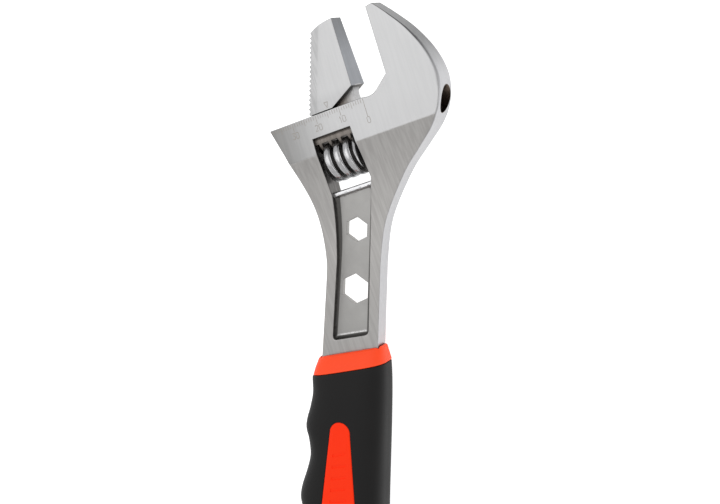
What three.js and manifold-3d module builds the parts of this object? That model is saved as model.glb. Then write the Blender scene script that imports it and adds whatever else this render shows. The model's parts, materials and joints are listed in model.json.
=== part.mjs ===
// Adjustable wrench with a reversible jaw, a thumb worm and a two-colour moulded grip.
// Millimetres. It lies flat: +Z is up through the thickness, +Y runs along the handle to the
// head, +X is the side of the fixed jaw. While it is built, x = 0 and y = 0 are the centre of
// the small hexagon socket and z = 0 is the middle of the thickness. The head is turned about Z:
// in its own frame x runs to the fixed jaw, y up the jaws, and y = 0 is the deck.
import * as THREE from 'three';
import { LoftGeometry } from 'three/addons/geometries/LoftGeometry.js';
import { mergeVertices } from 'three/addons/utils/BufferGeometryUtils.js';
import Module from 'manifold-3d';

const wasm = await Module();
wasm.setup();

// ---- driving dimensions ----
const HEAD_ANGLE = THREE.MathUtils.degToRad(22.1);
const HEAD_X = 2.5;
const HEAD_Y = 48.6;
const THROUGH = 40;
const ACROSS = 60;
const RUNNING_GAP = 0.15;
const FIT_GAP = 0.3;

const DECK_LENGTH = 39.8;
const FIXED_FACE_X = 11.4;
const JAW_TIP_Y = 29.7;
const JAW_FOOT_Y = 5.1;
const HEAD_HALF_THICK = 6.1;
const TIP_HALF_THICK = 3.8;
const SHANK_HALF_THICK = 3.5;
const NECK_TOP_Y = -14;
const NECK_FOOT_Y = -46;

const BORE_Y = -9.9;
const BORE_RADIUS = 4.45;
const SLOT_HALF_WIDTH = 2.65;
const SLOT_END_X = 11.2;
const WINDOW_TOP_Y = -8.1;
const WINDOW_FOOT_Y = -28.8;
const WINDOW_FOOT_LEFT_X = -23.3;
const WINDOW_FOOT_RIGHT_X = -6.7;

const WEB_HALF_THICK = 1.15;
const LIP_HALF_THICK = 2.6;
const LIP_HEIGHT = 2;
const HEX_SMALL = 8;
const HEX_LARGE = 10;
const HEX_SPACING = 22.35;

const WORM_Y = -18.3;
const WORM_RADIUS = 7.6;
const WORM_ROOT_RADIUS = 5.1;
const WORM_LEFT_X = -22.3;
const WORM_RIGHT_X = -8.3;
const PITCH = 4;
const CREST_HALF_WIDTH = 1.15;
const FLANK_HALF_WIDTH = 1.5;
const CREST_PHASE_X = -3.6;

const PIN_RADIUS = 2;
const PIN_HEAD_RADIUS = 3.1;
const PIN_LEFT_X = -34.6;
const PIN_HEAD_LENGTH = 2.6;
const PIN_RIGHT_X = 2.4;
const SPRING_POCKET_RADIUS = 3.7;
const SPRING_POCKET_DEPTH = 4.6;

const MOVING_FACE_X = -2.4;
const MOVING_TIP_Y = 30.4;
const JAW_HALF_THICK = 5.6;
const JAW_TIP_HALF_THICK = 3.75;
const JAW_WEB_HALF_THICK = 2.5;
const JAW_WEB_LEFT_X = -20.8;
const JAW_WEB_RIGHT_X = -3.6;
const STEM_RADIUS = 4.3;
const STEM_LEFT_X = -31;
const STEM_RIGHT_X = 11;
const RACK_TIP_Y = -13;
const RACK_ROOT_Y = -10.45;

const GRIP_SLOPE = 0.3;
const COLLAR_TOP = 45.8;
const GRIP_TOP = 52.6;
const GRIP_END = 143;
const GRIP_END_ROUND = 8;
const GRIP_FLAT = 9.2;
const INLAY_PROUD = 0.2;
const SKIN_THICK = 2.4;
const TANG_CENTRE_X = -0.8;
const TANG_HALF_WIDTH = 8.6;
const TANG_HALF_THICK = 2.75;
const HANG_HOLE_Y = -131.5;
const HANG_HOLE_RADIUS = 4;
const INLAY_CENTRE_X = -1.1;

const headMatrix = new THREE.Matrix4()
  .makeRotationZ(HEAD_ANGLE)
  .setPosition(HEAD_X, HEAD_Y, 0);

// ---- solids and booleans ----

// Welds a closed geometry's vertices and hands it to the boolean library.
function solidOf(geometry) {
  const bare = new THREE.BufferGeometry().copy(geometry);
  bare.deleteAttribute('normal');
  bare.deleteAttribute('uv');
  const welded = mergeVertices(bare, 1e-4);
  const corners = welded.index.array;
  const triangles = [];
  for (let i = 0; i < corners.length; i += 3) {
    const [a, b, c] = [corners[i], corners[i + 1], corners[i + 2]];
    if (a !== b && b !== c && c !== a) triangles.push(a, b, c);
  }
  return new wasm.Manifold(new wasm.Mesh({
    numProp: 3,
    vertProperties: new Float32Array(welded.attributes.position.array),
    triVerts: new Uint32Array(triangles),
  }));
}

function geometryOf(solid) {
  const mesh = solid.getMesh();
  const geometry = new THREE.BufferGeometry();
  geometry.setAttribute('position', new THREE.BufferAttribute(mesh.vertProperties, 3));
  geometry.setIndex(new THREE.BufferAttribute(mesh.triVerts, 1));
  geometry.computeVertexNormals();
  return geometry;
}

function cutAll(solid, cutters) {
  return cutters.reduce((left, cutter) => left.subtract(cutter), solid);
}

// A flat outline raised from z = low to z = high.
function plate(shape, low, high, curveSegments = 6) {
  const depth = high - low;
  const geometry = new THREE.ExtrudeGeometry(shape, { depth, bevelEnabled: false, curveSegments });
  return geometry.translate(0, 0, low);
}

// A box given by its two corners.
function block(x0, x1, y0, y1, z0, z1) {
  const box = new THREE.BoxGeometry(x1 - x0, y1 - y0, z1 - z0);
  return box.translate((x0 + x1) / 2, (y0 + y1) / 2, (z0 + z1) / 2);
}

// A rod along the head's x, at height y, in the middle of the thickness.
function rod(radius, x0, x1, y, sides = 32) {
  const cylinder = new THREE.CylinderGeometry(radius, radius, x1 - x0, sides);
  return cylinder.rotateZ(Math.PI / 2).translate((x0 + x1) / 2, y, 0);
}

function outlineOf(points) {
  return new THREE.Shape(points.map(([x, y]) => new THREE.Vector2(x, y)));
}

// A side profile, half thickness against height in the head, swept across the head's width.
function thicknessEnvelope(heights) {
  const mirrored = heights.map(([y, z]) => [y, -z]).reverse();
  const sweep = plate(outlineOf([...heights, ...mirrored]), -80, 80);
  const toHead = new THREE.Matrix4().makeBasis(
    new THREE.Vector3(0, 1, 0),
    new THREE.Vector3(0, 0, 1),
    new THREE.Vector3(1, 0, 0),
  );
  return sweep.applyMatrix4(toHead);
}

function inRow(headGeometry) {
  return headGeometry.applyMatrix4(headMatrix);
}

function headPoint(x, y) {
  const point = new THREE.Vector3(x, y, 0).applyMatrix4(headMatrix);
  return [point.x, point.y];
}

// A smooth curve of a value against the distance down the handle.
function smoothCurve(pairs) {
  const steps = pairs.map(([distance]) => distance);
  const values = pairs.map(([, value]) => value);
  const curve = new THREE.CubicInterpolant(steps, values, 1);
  return (distance) => curve.evaluate(distance)[0];
}

// ---- forged body ----

function bodyOutline() {
  const shape = new THREE.Shape();
  shape.moveTo(...headPoint(-DECK_LENGTH, 0));
  shape.lineTo(...headPoint(0, 0));
  shape.quadraticCurveTo(...headPoint(3.4, -0.9), ...headPoint(6, 0.8));
  shape.lineTo(...headPoint(FIXED_FACE_X, JAW_FOOT_Y));
  shape.lineTo(...headPoint(FIXED_FACE_X, JAW_TIP_Y));
  shape.lineTo(...headPoint(14.2, JAW_TIP_Y + 0.3));
  const outerCurve = [
    [10.9, 78.3], [18.8, 73.4], [26.5, 66.4], [31.3, 58.4], [32.2, 50.4],
    [30.1, 41.6], [25.2, 33], [19.7, 23.8], [14.1, 10.3], [11.7, 0.8], [10.85, -12],
  ];
  shape.splineThru(outerCurve.map(([x, y]) => new THREE.Vector2(x, y)));
  shape.lineTo(10.9, -47);
  shape.lineTo(-12, -53.5);
  shape.lineTo(-10.8, -19);
  const innerCurve = [[-11.1, -11.5], [-13.4, -0.6], [-16.8, 8.2], [-22, 16.8], [-27.9, 25.2]];
  shape.splineThru(innerCurve.map(([x, y]) => new THREE.Vector2(x, y)));
  shape.closePath();
  return shape;
}

function neckEnvelope() {
  const steps = 4;
  const heights = [[JAW_TIP_Y + 3, TIP_HALF_THICK], [NECK_TOP_Y, HEAD_HALF_THICK]];
  for (let i = 1; i <= steps; i++) {
    const left = 1 - i / steps;
    const rise = (HEAD_HALF_THICK - SHANK_HALF_THICK) * left * left;
    heights.push([NECK_FOOT_Y + (NECK_TOP_Y - NECK_FOOT_Y) * left, SHANK_HALF_THICK + rise]);
  }
  heights.push([-130, SHANK_HALF_THICK]);
  return inRow(thicknessEnvelope(heights));
}

function hexPrism(acrossFlats, y) {
  const radius = acrossFlats / Math.sqrt(3);
  const prism = new THREE.CylinderGeometry(radius, radius, THROUGH, 6);
  return prism.rotateX(Math.PI / 2).translate(0, y, 0);
}

function recessShape() {
  const shape = new THREE.Shape();
  shape.moveTo(-9.2, 13.6);
  shape.quadraticCurveTo(-7.1, 3, -6.6, -12);
  shape.lineTo(-7.5, -40.6);
  shape.quadraticCurveTo(-7.4, -42.6, -5.9, -42.1);
  shape.lineTo(5.2, -38.9);
  shape.quadraticCurveTo(6.8, -38.3, 6.8, -36.8);
  shape.lineTo(6.5, -6);
  shape.lineTo(6.3, 20.4);
  shape.closePath();
  return shape;
}

function windowShape() {
  return outlineOf([
    [-23.8, WINDOW_TOP_Y], [WINDOW_FOOT_LEFT_X, WINDOW_FOOT_Y],
    [WINDOW_FOOT_RIGHT_X, WINDOW_FOOT_Y], [-8, WINDOW_TOP_Y],
  ]);
}

// The thick lip that the shank's web ends in, under the worm.
function webLip() {
  return solidOf(inRow(block(
    WINDOW_FOOT_LEFT_X, WINDOW_FOOT_RIGHT_X, WINDOW_FOOT_Y - LIP_HEIGHT, WINDOW_FOOT_Y,
    -LIP_HALF_THICK, LIP_HALF_THICK)));
}

function hangHole(clearance) {
  const radius = HANG_HOLE_RADIUS + clearance;
  const cylinder = new THREE.CylinderGeometry(radius, radius, THROUGH, 24);
  return solidOf(cylinder.rotateX(Math.PI / 2).translate(TANG_CENTRE_X, HANG_HOLE_Y, 0));
}

function wrenchBody() {
  const forging = solidOf(plate(bodyOutline(), -9, 9, 4)).intersect(solidOf(neckEnvelope()));
  const tang = new THREE.Shape();
  tang.moveTo(TANG_CENTRE_X + TANG_HALF_WIDTH, -45);
  tang.lineTo(TANG_CENTRE_X - TANG_HALF_WIDTH, -45);
  tang.lineTo(TANG_CENTRE_X - TANG_HALF_WIDTH, HANG_HOLE_Y);
  tang.absarc(TANG_CENTRE_X, HANG_HOLE_Y, TANG_HALF_WIDTH, Math.PI, 2 * Math.PI, false);
  tang.closePath();
  const blank = forging.add(solidOf(plate(tang, -TANG_HALF_THICK, TANG_HALF_THICK)));
  const recessed = cutAll(blank, [
    solidOf(plate(recessShape(), WEB_HALF_THICK, THROUGH)),
    solidOf(plate(recessShape(), -THROUGH, -WEB_HALF_THICK)),
  ]);
  return cutAll(recessed.add(webLip()), [
    solidOf(inRow(plate(windowShape(), -THROUGH, THROUGH))),
    solidOf(inRow(rod(BORE_RADIUS, -ACROSS, ACROSS, BORE_Y))),
    solidOf(inRow(block(
      -ACROSS, SLOT_END_X, BORE_Y, JAW_FOOT_Y, -SLOT_HALF_WIDTH, SLOT_HALF_WIDTH))),
    solidOf(hexPrism(HEX_SMALL, 0)),
    solidOf(hexPrism(HEX_LARGE, -HEX_SPACING)),
    solidOf(inRow(rod(PIN_RADIUS + RUNNING_GAP, -ACROSS, PIN_RIGHT_X + FIT_GAP, WORM_Y, 24))),
    solidOf(inRow(rod(
      PIN_HEAD_RADIUS + RUNNING_GAP, -ACROSS, PIN_LEFT_X + PIN_HEAD_LENGTH + FIT_GAP, WORM_Y, 24))),
    hangHole(1),
  ]);
}

// ---- moving jaw, in the head's frame ----

// The back is parallel to the handle and carries the pipe teeth.
function jawOutline() {
  const toothCount = 17;
  const toothDepth = 0.6;
  const backFoot = new THREE.Vector2(-22.3, 1);
  const backTop = new THREE.Vector2(-12.4, 28);
  const along = backTop.clone().sub(backFoot).divideScalar(toothCount);
  const inward = new THREE.Vector2(along.y, -along.x).normalize().multiplyScalar(toothDepth);
  const shape = new THREE.Shape();
  shape.moveTo(-12.4, 0.15);
  shape.lineTo(MOVING_FACE_X, JAW_FOOT_Y + 0.2);
  shape.lineTo(MOVING_FACE_X, MOVING_TIP_Y);
  shape.quadraticCurveTo(-8.6, MOVING_TIP_Y - 0.2, backTop.x, backTop.y);
  for (let i = toothCount - 1; i >= 0; i--) {
    const valley = backFoot.clone().addScaledVector(along, i + 0.5).add(inward);
    const crest = backFoot.clone().addScaledVector(along, i);
    shape.lineTo(valley.x, valley.y);
    shape.lineTo(crest.x, crest.y);
  }
  shape.lineTo(-21.9, 0.15);
  shape.closePath();
  return shape;
}

// The gap between two rack teeth, slanted to follow the worm's thread.
function rackGroove(x) {
  const openHalf = CREST_HALF_WIDTH + 0.22;
  const deepY = RACK_ROOT_Y;
  const openY = RACK_TIP_Y - 4;
  const flare = (FLANK_HALF_WIDTH - CREST_HALF_WIDTH) / (WORM_RADIUS - WORM_ROOT_RADIUS);
  const mouth = openHalf + flare * (deepY - openY);
  const outline = outlineOf([[-openHalf, deepY], [-mouth, openY], [mouth, openY], [openHalf, deepY]]);
  const meshRadius = (WORM_RADIUS + WORM_ROOT_RADIUS) / 2;
  const leadAngle = Math.atan(PITCH / (2 * Math.PI * meshRadius));
  return plate(outline, -8, 8).rotateY(leadAngle).translate(x, 0, 0);
}

// The web between the jaw block and its stem. Its front edge curves up to the smooth face.
function jawWeb() {
  const shape = new THREE.Shape();
  shape.moveTo(JAW_WEB_LEFT_X, BORE_Y + 1);
  shape.lineTo(JAW_WEB_RIGHT_X, BORE_Y + 1);
  shape.lineTo(JAW_WEB_RIGHT_X, -0.6);
  shape.quadraticCurveTo(-4.9, 2.4, -2.9, JAW_FOOT_Y);
  shape.lineTo(-5, JAW_FOOT_Y + 1);
  shape.lineTo(JAW_WEB_LEFT_X, 1.2);
  shape.closePath();
  return plate(shape, -JAW_WEB_HALF_THICK, JAW_WEB_HALF_THICK);
}

function movingJaw() {
  const envelope = thicknessEnvelope([
    [MOVING_TIP_Y + 3, JAW_TIP_HALF_THICK], [JAW_FOOT_Y, JAW_HALF_THICK], [-20, JAW_HALF_THICK],
  ]);
  const jaw = solidOf(plate(jawOutline(), -8, 8)).intersect(solidOf(envelope));
  const stem = solidOf(rod(STEM_RADIUS, STEM_LEFT_X, STEM_RIGHT_X, BORE_Y));
  const cutters = [solidOf(block(-ACROSS, ACROSS, -30, RACK_TIP_Y, -8, 8))];
  const firstGroove = CREST_PHASE_X - PITCH / 4 + 4 * PITCH;
  for (let x = firstGroove; x > STEM_LEFT_X - PITCH; x -= PITCH) {
    cutters.push(solidOf(rackGroove(x)));
  }
  return jaw.add(solidOf(jawWeb())).add(cutAll(stem, cutters));
}

// ---- worm, its pin and its spring, in the head's frame ----

// One trapezoid thread, wound as a right-hand helix about the worm's axis.
function wormThread() {
  const stepsPerTurn = 24;
  const turns = 4.5;
  const buried = WORM_ROOT_RADIUS - 0.5;
  const profile = [
    [-FLANK_HALF_WIDTH, buried], [-CREST_HALF_WIDTH, WORM_RADIUS],
    [CREST_HALF_WIDTH, WORM_RADIUS], [FLANK_HALF_WIDTH, buried],
  ];
  const sections = [];
  const steps = Math.round(turns * stepsPerTurn);
  for (let i = 0; i <= steps; i++) {
    const turn = (i - steps / 2) / stepsPerTurn;
    const angle = 2 * Math.PI * turn;
    const middle = CREST_PHASE_X - 3 * PITCH - PITCH * turn;
    sections.push(profile.map(([side, radius]) => new THREE.Vector3(
      middle + side, WORM_Y + radius * Math.sin(angle), radius * Math.cos(angle))));
  }
  return new LoftGeometry(sections, { capStart: true, capEnd: true });
}

function adjustingWorm() {
  const hub = solidOf(rod(WORM_ROOT_RADIUS, WORM_LEFT_X, WORM_RIGHT_X, WORM_Y, 48));
  const limits = solidOf(block(WORM_LEFT_X, WORM_RIGHT_X, -40, 20, -THROUGH, THROUGH));
  const thread = solidOf(wormThread()).intersect(limits);
  return cutAll(hub.add(thread), [
    solidOf(rod(PIN_RADIUS + RUNNING_GAP, -ACROSS, ACROSS, WORM_Y, 24)),
    solidOf(rod(SPRING_POCKET_RADIUS, -ACROSS, WORM_LEFT_X + SPRING_POCKET_DEPTH, WORM_Y, 24)),
  ]);
}

function wormPin() {
  const shoulder = PIN_LEFT_X + PIN_HEAD_LENGTH;
  const shaft = solidOf(rod(PIN_RADIUS, PIN_LEFT_X + 1, PIN_RIGHT_X, WORM_Y, 24));
  const head = solidOf(rod(PIN_HEAD_RADIUS, PIN_LEFT_X, shoulder, WORM_Y, 24));
  const driverSlot = block(PIN_LEFT_X - 1, PIN_LEFT_X + 1.2, WORM_Y - 5, WORM_Y + 5, -0.45, 0.45);
  return shaft.add(head).subtract(solidOf(driverSlot));
}

function wormSpring() {
  const coilRadius = 2.95;
  const wireRadius = 0.35;
  const turns = 3.5;
  const left = -23.1;
  const right = WORM_LEFT_X + SPRING_POCKET_DEPTH - 0.5;
  const steps = turns * 16;
  const points = [];
  for (let i = 0; i <= steps; i++) {
    const angle = 2 * Math.PI * turns * i / steps;
    points.push(new THREE.Vector3(
      left + (right - left) * i / steps,
      WORM_Y + coilRadius * Math.cos(angle),
      coilRadius * Math.sin(angle)));
  }
  const wire = new THREE.Shape();
  wire.absarc(0, 0, wireRadius, 0, 2 * Math.PI, false);
  const extrudePath = new THREE.CatmullRomCurve3(points);
  return new THREE.ExtrudeGeometry(wire, { steps, curveSegments: 3, extrudePath });
}

// ---- grip ----

const gripLeft = smoothCurve([
  [45.6, 15.2], [52.6, 15.85], [60, 15.4], [68, 16.3], [76.6, 17.8], [82, 16.4], [88, 15.6],
  [94, 16.8], [101, 18.9], [106, 19.5], [111, 18.2], [117, 17.1], [126, 18.6], [134, 20.2], [143, 19.4],
]);
const gripRight = smoothCurve([
  [45.6, 12.9], [52.6, 13.75], [66, 14.5], [104, 14.75], [126, 15.4], [143, 15.2],
]);
const gripThick = smoothCurve([[45.6, 7.3], [52.6, 7.9], [66, 8.7], [80, 9.2], [110, 9.4], [143, 9.2]]);

// A rounded rectangle around the handle, level at the front and back above the flat height.
function roundedRing(distance, slope, left, right, halfThick, flat, count) {
  const squareness = 3.4;
  const ring = [];
  for (let i = 0; i < count; i++) {
    const angle = 2 * Math.PI * (i + 0.5) / count;
    const across = Math.cos(angle);
    const through = Math.sin(angle);
    const half = across > 0 ? right : left;
    const x = half * Math.sign(across) * Math.abs(across) ** (2 / squareness);
    const rise = Math.min(flat, halfThick * Math.abs(through) ** (2 / squareness));
    ring.push(new THREE.Vector3(x, slope * x - distance, rise * Math.sign(through)));
  }
  return ring;
}

// One section of the grip, at a distance down the handle, drawn in by an inset. The sections
// start on the collar's slant and turn square to the handle further down.
function gripSection(distance, inset, thicknessInset, count) {
  const fade = THREE.MathUtils.smoothstep(distance, GRIP_TOP, GRIP_TOP + 24);
  return roundedRing(
    distance, GRIP_SLOPE * (1 - fade),
    gripLeft(distance) - inset, gripRight(distance) - inset,
    gripThick(distance) - thicknessInset, GRIP_FLAT - thicknessInset, count);
}

// The grip's outer form drawn in evenly by an inset, with a rounded lower end.
function gripForm(inset, top = GRIP_TOP, count = 32, straightSteps = 18) {
  const straightEnd = GRIP_END - GRIP_END_ROUND;
  const roundSteps = 4;
  const sections = [];
  for (let i = 0; i <= straightSteps; i++) {
    const distance = top + (straightEnd - top) * i / straightSteps;
    sections.push(gripSection(distance, inset, inset, count));
  }
  for (let i = 1; i <= roundSteps; i++) {
    const angle = Math.PI / 2 * i / roundSteps;
    const reach = GRIP_END_ROUND - inset;
    const drawnIn = 1 - Math.cos(angle);
    sections.push(gripSection(
      straightEnd + reach * Math.sin(angle), inset + reach * drawnIn,
      inset + 0.6 * reach * drawnIn, count));
  }
  return new LoftGeometry(sections, { capStart: true, capEnd: true });
}

function inlayShape(grow) {
  const topRadius = 4.1 + grow;
  const endRadius = 9.3 + grow;
  const endY = HANG_HOLE_Y + 1.5;
  const shape = new THREE.Shape();
  shape.absarc(INLAY_CENTRE_X, -76.2, topRadius, 0, Math.PI, false);
  shape.absarc(TANG_CENTRE_X, endY, endRadius, Math.PI, 2 * Math.PI, false);
  shape.closePath();
  return shape;
}

// The hollow inside the soft skin. Drawn in a little further, it is the core that fills it.
function gripHollow(extraInset) {
  return solidOf(gripForm(SKIN_THICK + extraInset, GRIP_TOP - 2, 20, 10));
}

function gripSkin() {
  return cutAll(solidOf(gripForm(0)), [
    gripHollow(0),
    solidOf(plate(inlayShape(RUNNING_GAP), -THROUGH, THROUGH, 8)),
  ]);
}

function gripCore() {
  const tangSlot = block(
    TANG_CENTRE_X - TANG_HALF_WIDTH - FIT_GAP, TANG_CENTRE_X + TANG_HALF_WIDTH + FIT_GAP,
    HANG_HOLE_Y, 0, -TANG_HALF_THICK - FIT_GAP, TANG_HALF_THICK + FIT_GAP);
  const slotEnd = new THREE.CylinderGeometry(
    TANG_HALF_WIDTH + FIT_GAP, TANG_HALF_WIDTH + FIT_GAP, 2 * (TANG_HALF_THICK + FIT_GAP), 32);
  const topLeft = -GRIP_SLOPE * THROUGH - GRIP_TOP - FIT_GAP;
  const topRight = GRIP_SLOPE * THROUGH - GRIP_TOP - FIT_GAP;
  const aboveCore = outlineOf([[-THROUGH, topLeft], [THROUGH, topRight], [THROUGH, 0], [-THROUGH, 0]]);
  return cutAll(gripHollow(RUNNING_GAP), [
    solidOf(plate(aboveCore, -THROUGH, THROUGH)),
    solidOf(tangSlot),
    solidOf(slotEnd.rotateX(Math.PI / 2).translate(TANG_CENTRE_X, HANG_HOLE_Y, 0)),
    hangHole(0),
  ]);
}

function gripInlay(side) {
  const [low, high] = side > 0 ? [0, THROUGH] : [-THROUGH, 0];
  return solidOf(plate(inlayShape(0), low, high, 8))
    .intersect(solidOf(gripForm(-INLAY_PROUD)))
    .subtract(gripHollow(0))
    .subtract(hangHole(0));
}

function gripCollar() {
  const rows = [
    [COLLAR_TOP, 13.1, 11.9, 4.9], [COLLAR_TOP + 0.6, 13.9, 12.4, 5.6],
    [COLLAR_TOP + 3.5, 14.9, 13.1, 6.8], [GRIP_TOP - RUNNING_GAP, 15.7, 13.9, 7.8],
  ];
  const sections = rows.map(([distance, left, right, halfThick]) => (
    roundedRing(distance, GRIP_SLOPE, left, right, halfThick, halfThick, 32)));
  const ringSolid = solidOf(new LoftGeometry(sections, { capStart: true, capEnd: true }));
  const shankHole = block(-12.35, 11.25, -70, -20, -SHANK_HALF_THICK - FIT_GAP, SHANK_HALF_THICK + FIT_GAP);
  return ringSolid.subtract(solidOf(shankHole));
}

// ---- assembly ----

const finishes = {
  satinSteel: { color: 0xc9cacc, metalness: 0.9, roughness: 0.38 },
  polishedSteel: { color: 0xd6d8da, metalness: 1, roughness: 0.18 },
  darkSteel: { color: 0x77787a, metalness: 0.9, roughness: 0.45 },
  orangePlastic: { color: 0xff5a2a, metalness: 0, roughness: 0.5 },
  orangeInlay: { color: 0xff4000, metalness: 0, roughness: 0.5 },
  blackRubber: { color: 0x222121, metalness: 0, roughness: 0.7 },
  hardPlastic: { color: 0x2b2b2c, metalness: 0, roughness: 0.6 },
};

function part(name, geometry, finish) {
  const mesh = new THREE.Mesh(geometry, new THREE.MeshStandardMaterial(finishes[finish]));
  mesh.name = name;
  return mesh;
}

const head = new THREE.Group();
head.position.set(HEAD_X, HEAD_Y, 0);
head.rotation.z = HEAD_ANGLE;
head.add(
  part('moving_jaw', geometryOf(movingJaw()), 'satinSteel'),
  part('adjusting_worm', geometryOf(adjustingWorm()), 'polishedSteel'),
  part('worm_pin', geometryOf(wormPin()), 'darkSteel'),
  part('worm_spring', wormSpring(), 'darkSteel'),
);

const grip = new THREE.Group();
grip.add(
  part('grip_collar', geometryOf(gripCollar()), 'orangePlastic'),
  part('grip_core', geometryOf(gripCore()), 'hardPlastic'),
  part('grip_skin', geometryOf(gripSkin()), 'blackRubber'),
  part('grip_inlay_front', geometryOf(gripInlay(1)), 'orangeInlay'),
  part('grip_inlay_back', geometryOf(gripInlay(-1)), 'orangeInlay'),
);

const wrench = new THREE.Group();
wrench.add(part('wrench_body', geometryOf(wrenchBody()), 'satinSteel'), head, grip);

// The origin goes under the middle of the whole wrench, on the surface it lies on.
wrench.updateMatrixWorld(true);
const box = new THREE.Box3().setFromObject(wrench, true);
const middle = box.getCenter(new THREE.Vector3());
wrench.position.set(-middle.x, -middle.y, -box.min.z);

export default wrench;
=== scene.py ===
import json
import math

import bmesh
import bpy
import numpy as np
from mathutils import Matrix, Vector
from mathutils.geometry import delaunay_2d_cdt


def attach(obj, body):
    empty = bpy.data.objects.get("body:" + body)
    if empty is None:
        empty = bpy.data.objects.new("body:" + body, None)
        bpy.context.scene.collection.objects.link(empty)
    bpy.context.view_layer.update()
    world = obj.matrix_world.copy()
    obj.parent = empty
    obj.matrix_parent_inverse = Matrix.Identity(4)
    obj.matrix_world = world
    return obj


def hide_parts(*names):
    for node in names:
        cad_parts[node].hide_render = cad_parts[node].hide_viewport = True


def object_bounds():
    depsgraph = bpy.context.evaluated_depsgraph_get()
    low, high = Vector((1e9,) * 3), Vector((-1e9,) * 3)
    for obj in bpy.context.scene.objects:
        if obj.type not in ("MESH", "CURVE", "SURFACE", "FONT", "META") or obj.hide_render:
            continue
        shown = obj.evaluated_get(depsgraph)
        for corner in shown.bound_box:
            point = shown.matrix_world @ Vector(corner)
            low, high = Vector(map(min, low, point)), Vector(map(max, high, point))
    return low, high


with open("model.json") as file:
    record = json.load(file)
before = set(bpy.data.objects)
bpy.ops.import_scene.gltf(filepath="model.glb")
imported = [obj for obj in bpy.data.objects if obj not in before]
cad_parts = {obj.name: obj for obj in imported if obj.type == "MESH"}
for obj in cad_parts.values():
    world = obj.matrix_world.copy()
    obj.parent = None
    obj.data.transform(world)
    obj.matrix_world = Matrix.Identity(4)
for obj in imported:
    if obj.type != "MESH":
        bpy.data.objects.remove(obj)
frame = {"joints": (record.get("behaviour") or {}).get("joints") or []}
cad_box = [list(corner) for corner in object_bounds()]
scene = bpy.context.scene

# ---- camera ----
# The wrench lies flat on the bench with its head away from the viewer. Plan points are in
# millimetres, with the small hexagon socket at x = 0, y = 0 and the mid-thickness at z = 0.
MM = 0.001
DECK_START = np.array([2.5, 48.6])
WORM_IN_HEAD = np.array([-15.3, -18.3])

worm_joint = next(joint for joint in frame["joints"] if joint["name"] == "worm_spin")
HEAD_ANGLE = math.atan2(worm_joint["axis"][1], worm_joint["axis"][0])
HEAD_COS = math.cos(HEAD_ANGLE)
HEAD_SIN = math.sin(HEAD_ANGLE)


def head_to_plan(points):
    """Turns points of the head, x to the fixed jaw and y up from the deck, into plan points."""
    points = np.asarray(points, float)
    x = DECK_START[0] + HEAD_COS * points[..., 0] - HEAD_SIN * points[..., 1]
    y = DECK_START[1] + HEAD_SIN * points[..., 0] + HEAD_COS * points[..., 1]
    return np.stack([x, y], axis=-1)


worm_in_plan = head_to_plan(WORM_IN_HEAD)
PLAN_ORIGIN = np.array(worm_joint["pos_m"]) / MM - np.array([*worm_in_plan, 0.0])

VIEW_DISTANCE = 500.0
VIEW_TO_RIGHT = math.radians(24.25)
VIEW_TO_HEAD = math.radians(11.98)
VIEW_ROLL = math.radians(1.61)
VIEW_TARGET = np.array([0.98, -8.57, 0.0])
LENS = 68.1

view_out = Vector((
    math.sin(VIEW_TO_RIGHT) * math.cos(VIEW_TO_HEAD),
    math.sin(VIEW_TO_HEAD),
    math.cos(VIEW_TO_RIGHT) * math.cos(VIEW_TO_HEAD),
))
level_right = Vector((0, 1, 0)).cross(view_out).normalized()
level_up = view_out.cross(level_right)
view_right = math.cos(VIEW_ROLL) * level_right + math.sin(VIEW_ROLL) * level_up
view_up = math.cos(VIEW_ROLL) * level_up - math.sin(VIEW_ROLL) * level_right
camera_data = bpy.data.cameras.new("camera")
camera_data.sensor_width = 36.0
camera_data.lens = LENS
camera_data.clip_start = 0.01
camera = bpy.data.objects.new("camera", camera_data)
camera.matrix_world = Matrix((view_right, view_up, view_out)).transposed().to_4x4()
camera.location = (Vector(PLAN_ORIGIN + VIEW_TARGET) + VIEW_DISTANCE * view_out) * MM
scene.collection.objects.link(camera)
scene.camera = camera
scene.view_settings.view_transform = "Standard"


# ---- bench and light ----
# A plain pale bench top under one large soft box over the head, with a long side strip and a
# low fill, so that flat steel shows a slow gradient.
class Shade:
    """A shader socket that can be used in sums and products."""

    def __init__(self, graph, socket):
        self.graph = graph
        self.socket = socket

    def _math(self, operation, *operands):
        inputs = dict(enumerate(operands))
        return self.graph.node("ShaderNodeMath", {"operation": operation}, inputs)

    def __add__(self, other):
        return self._math("ADD", self, other)

    def __radd__(self, other):
        return self._math("ADD", other, self)

    def __sub__(self, other):
        return self._math("SUBTRACT", self, other)

    def __rsub__(self, other):
        return self._math("SUBTRACT", other, self)

    def __mul__(self, other):
        return self._math("MULTIPLY", self, other)

    def __rmul__(self, other):
        return self._math("MULTIPLY", other, self)

    def size(self):
        return self._math("ABSOLUTE", self)

    def at_least(self, other):
        return self._math("MAXIMUM", self, other)

    def above(self, level, softness):
        """0 below the level and 1 above it, with a soft step between."""
        settings = {"interpolation_type": "SMOOTHSTEP"}
        inputs = {"Value": self, "From Min": level - softness, "From Max": level + softness}
        return self.graph.node("ShaderNodeMapRange", settings, inputs)


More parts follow.
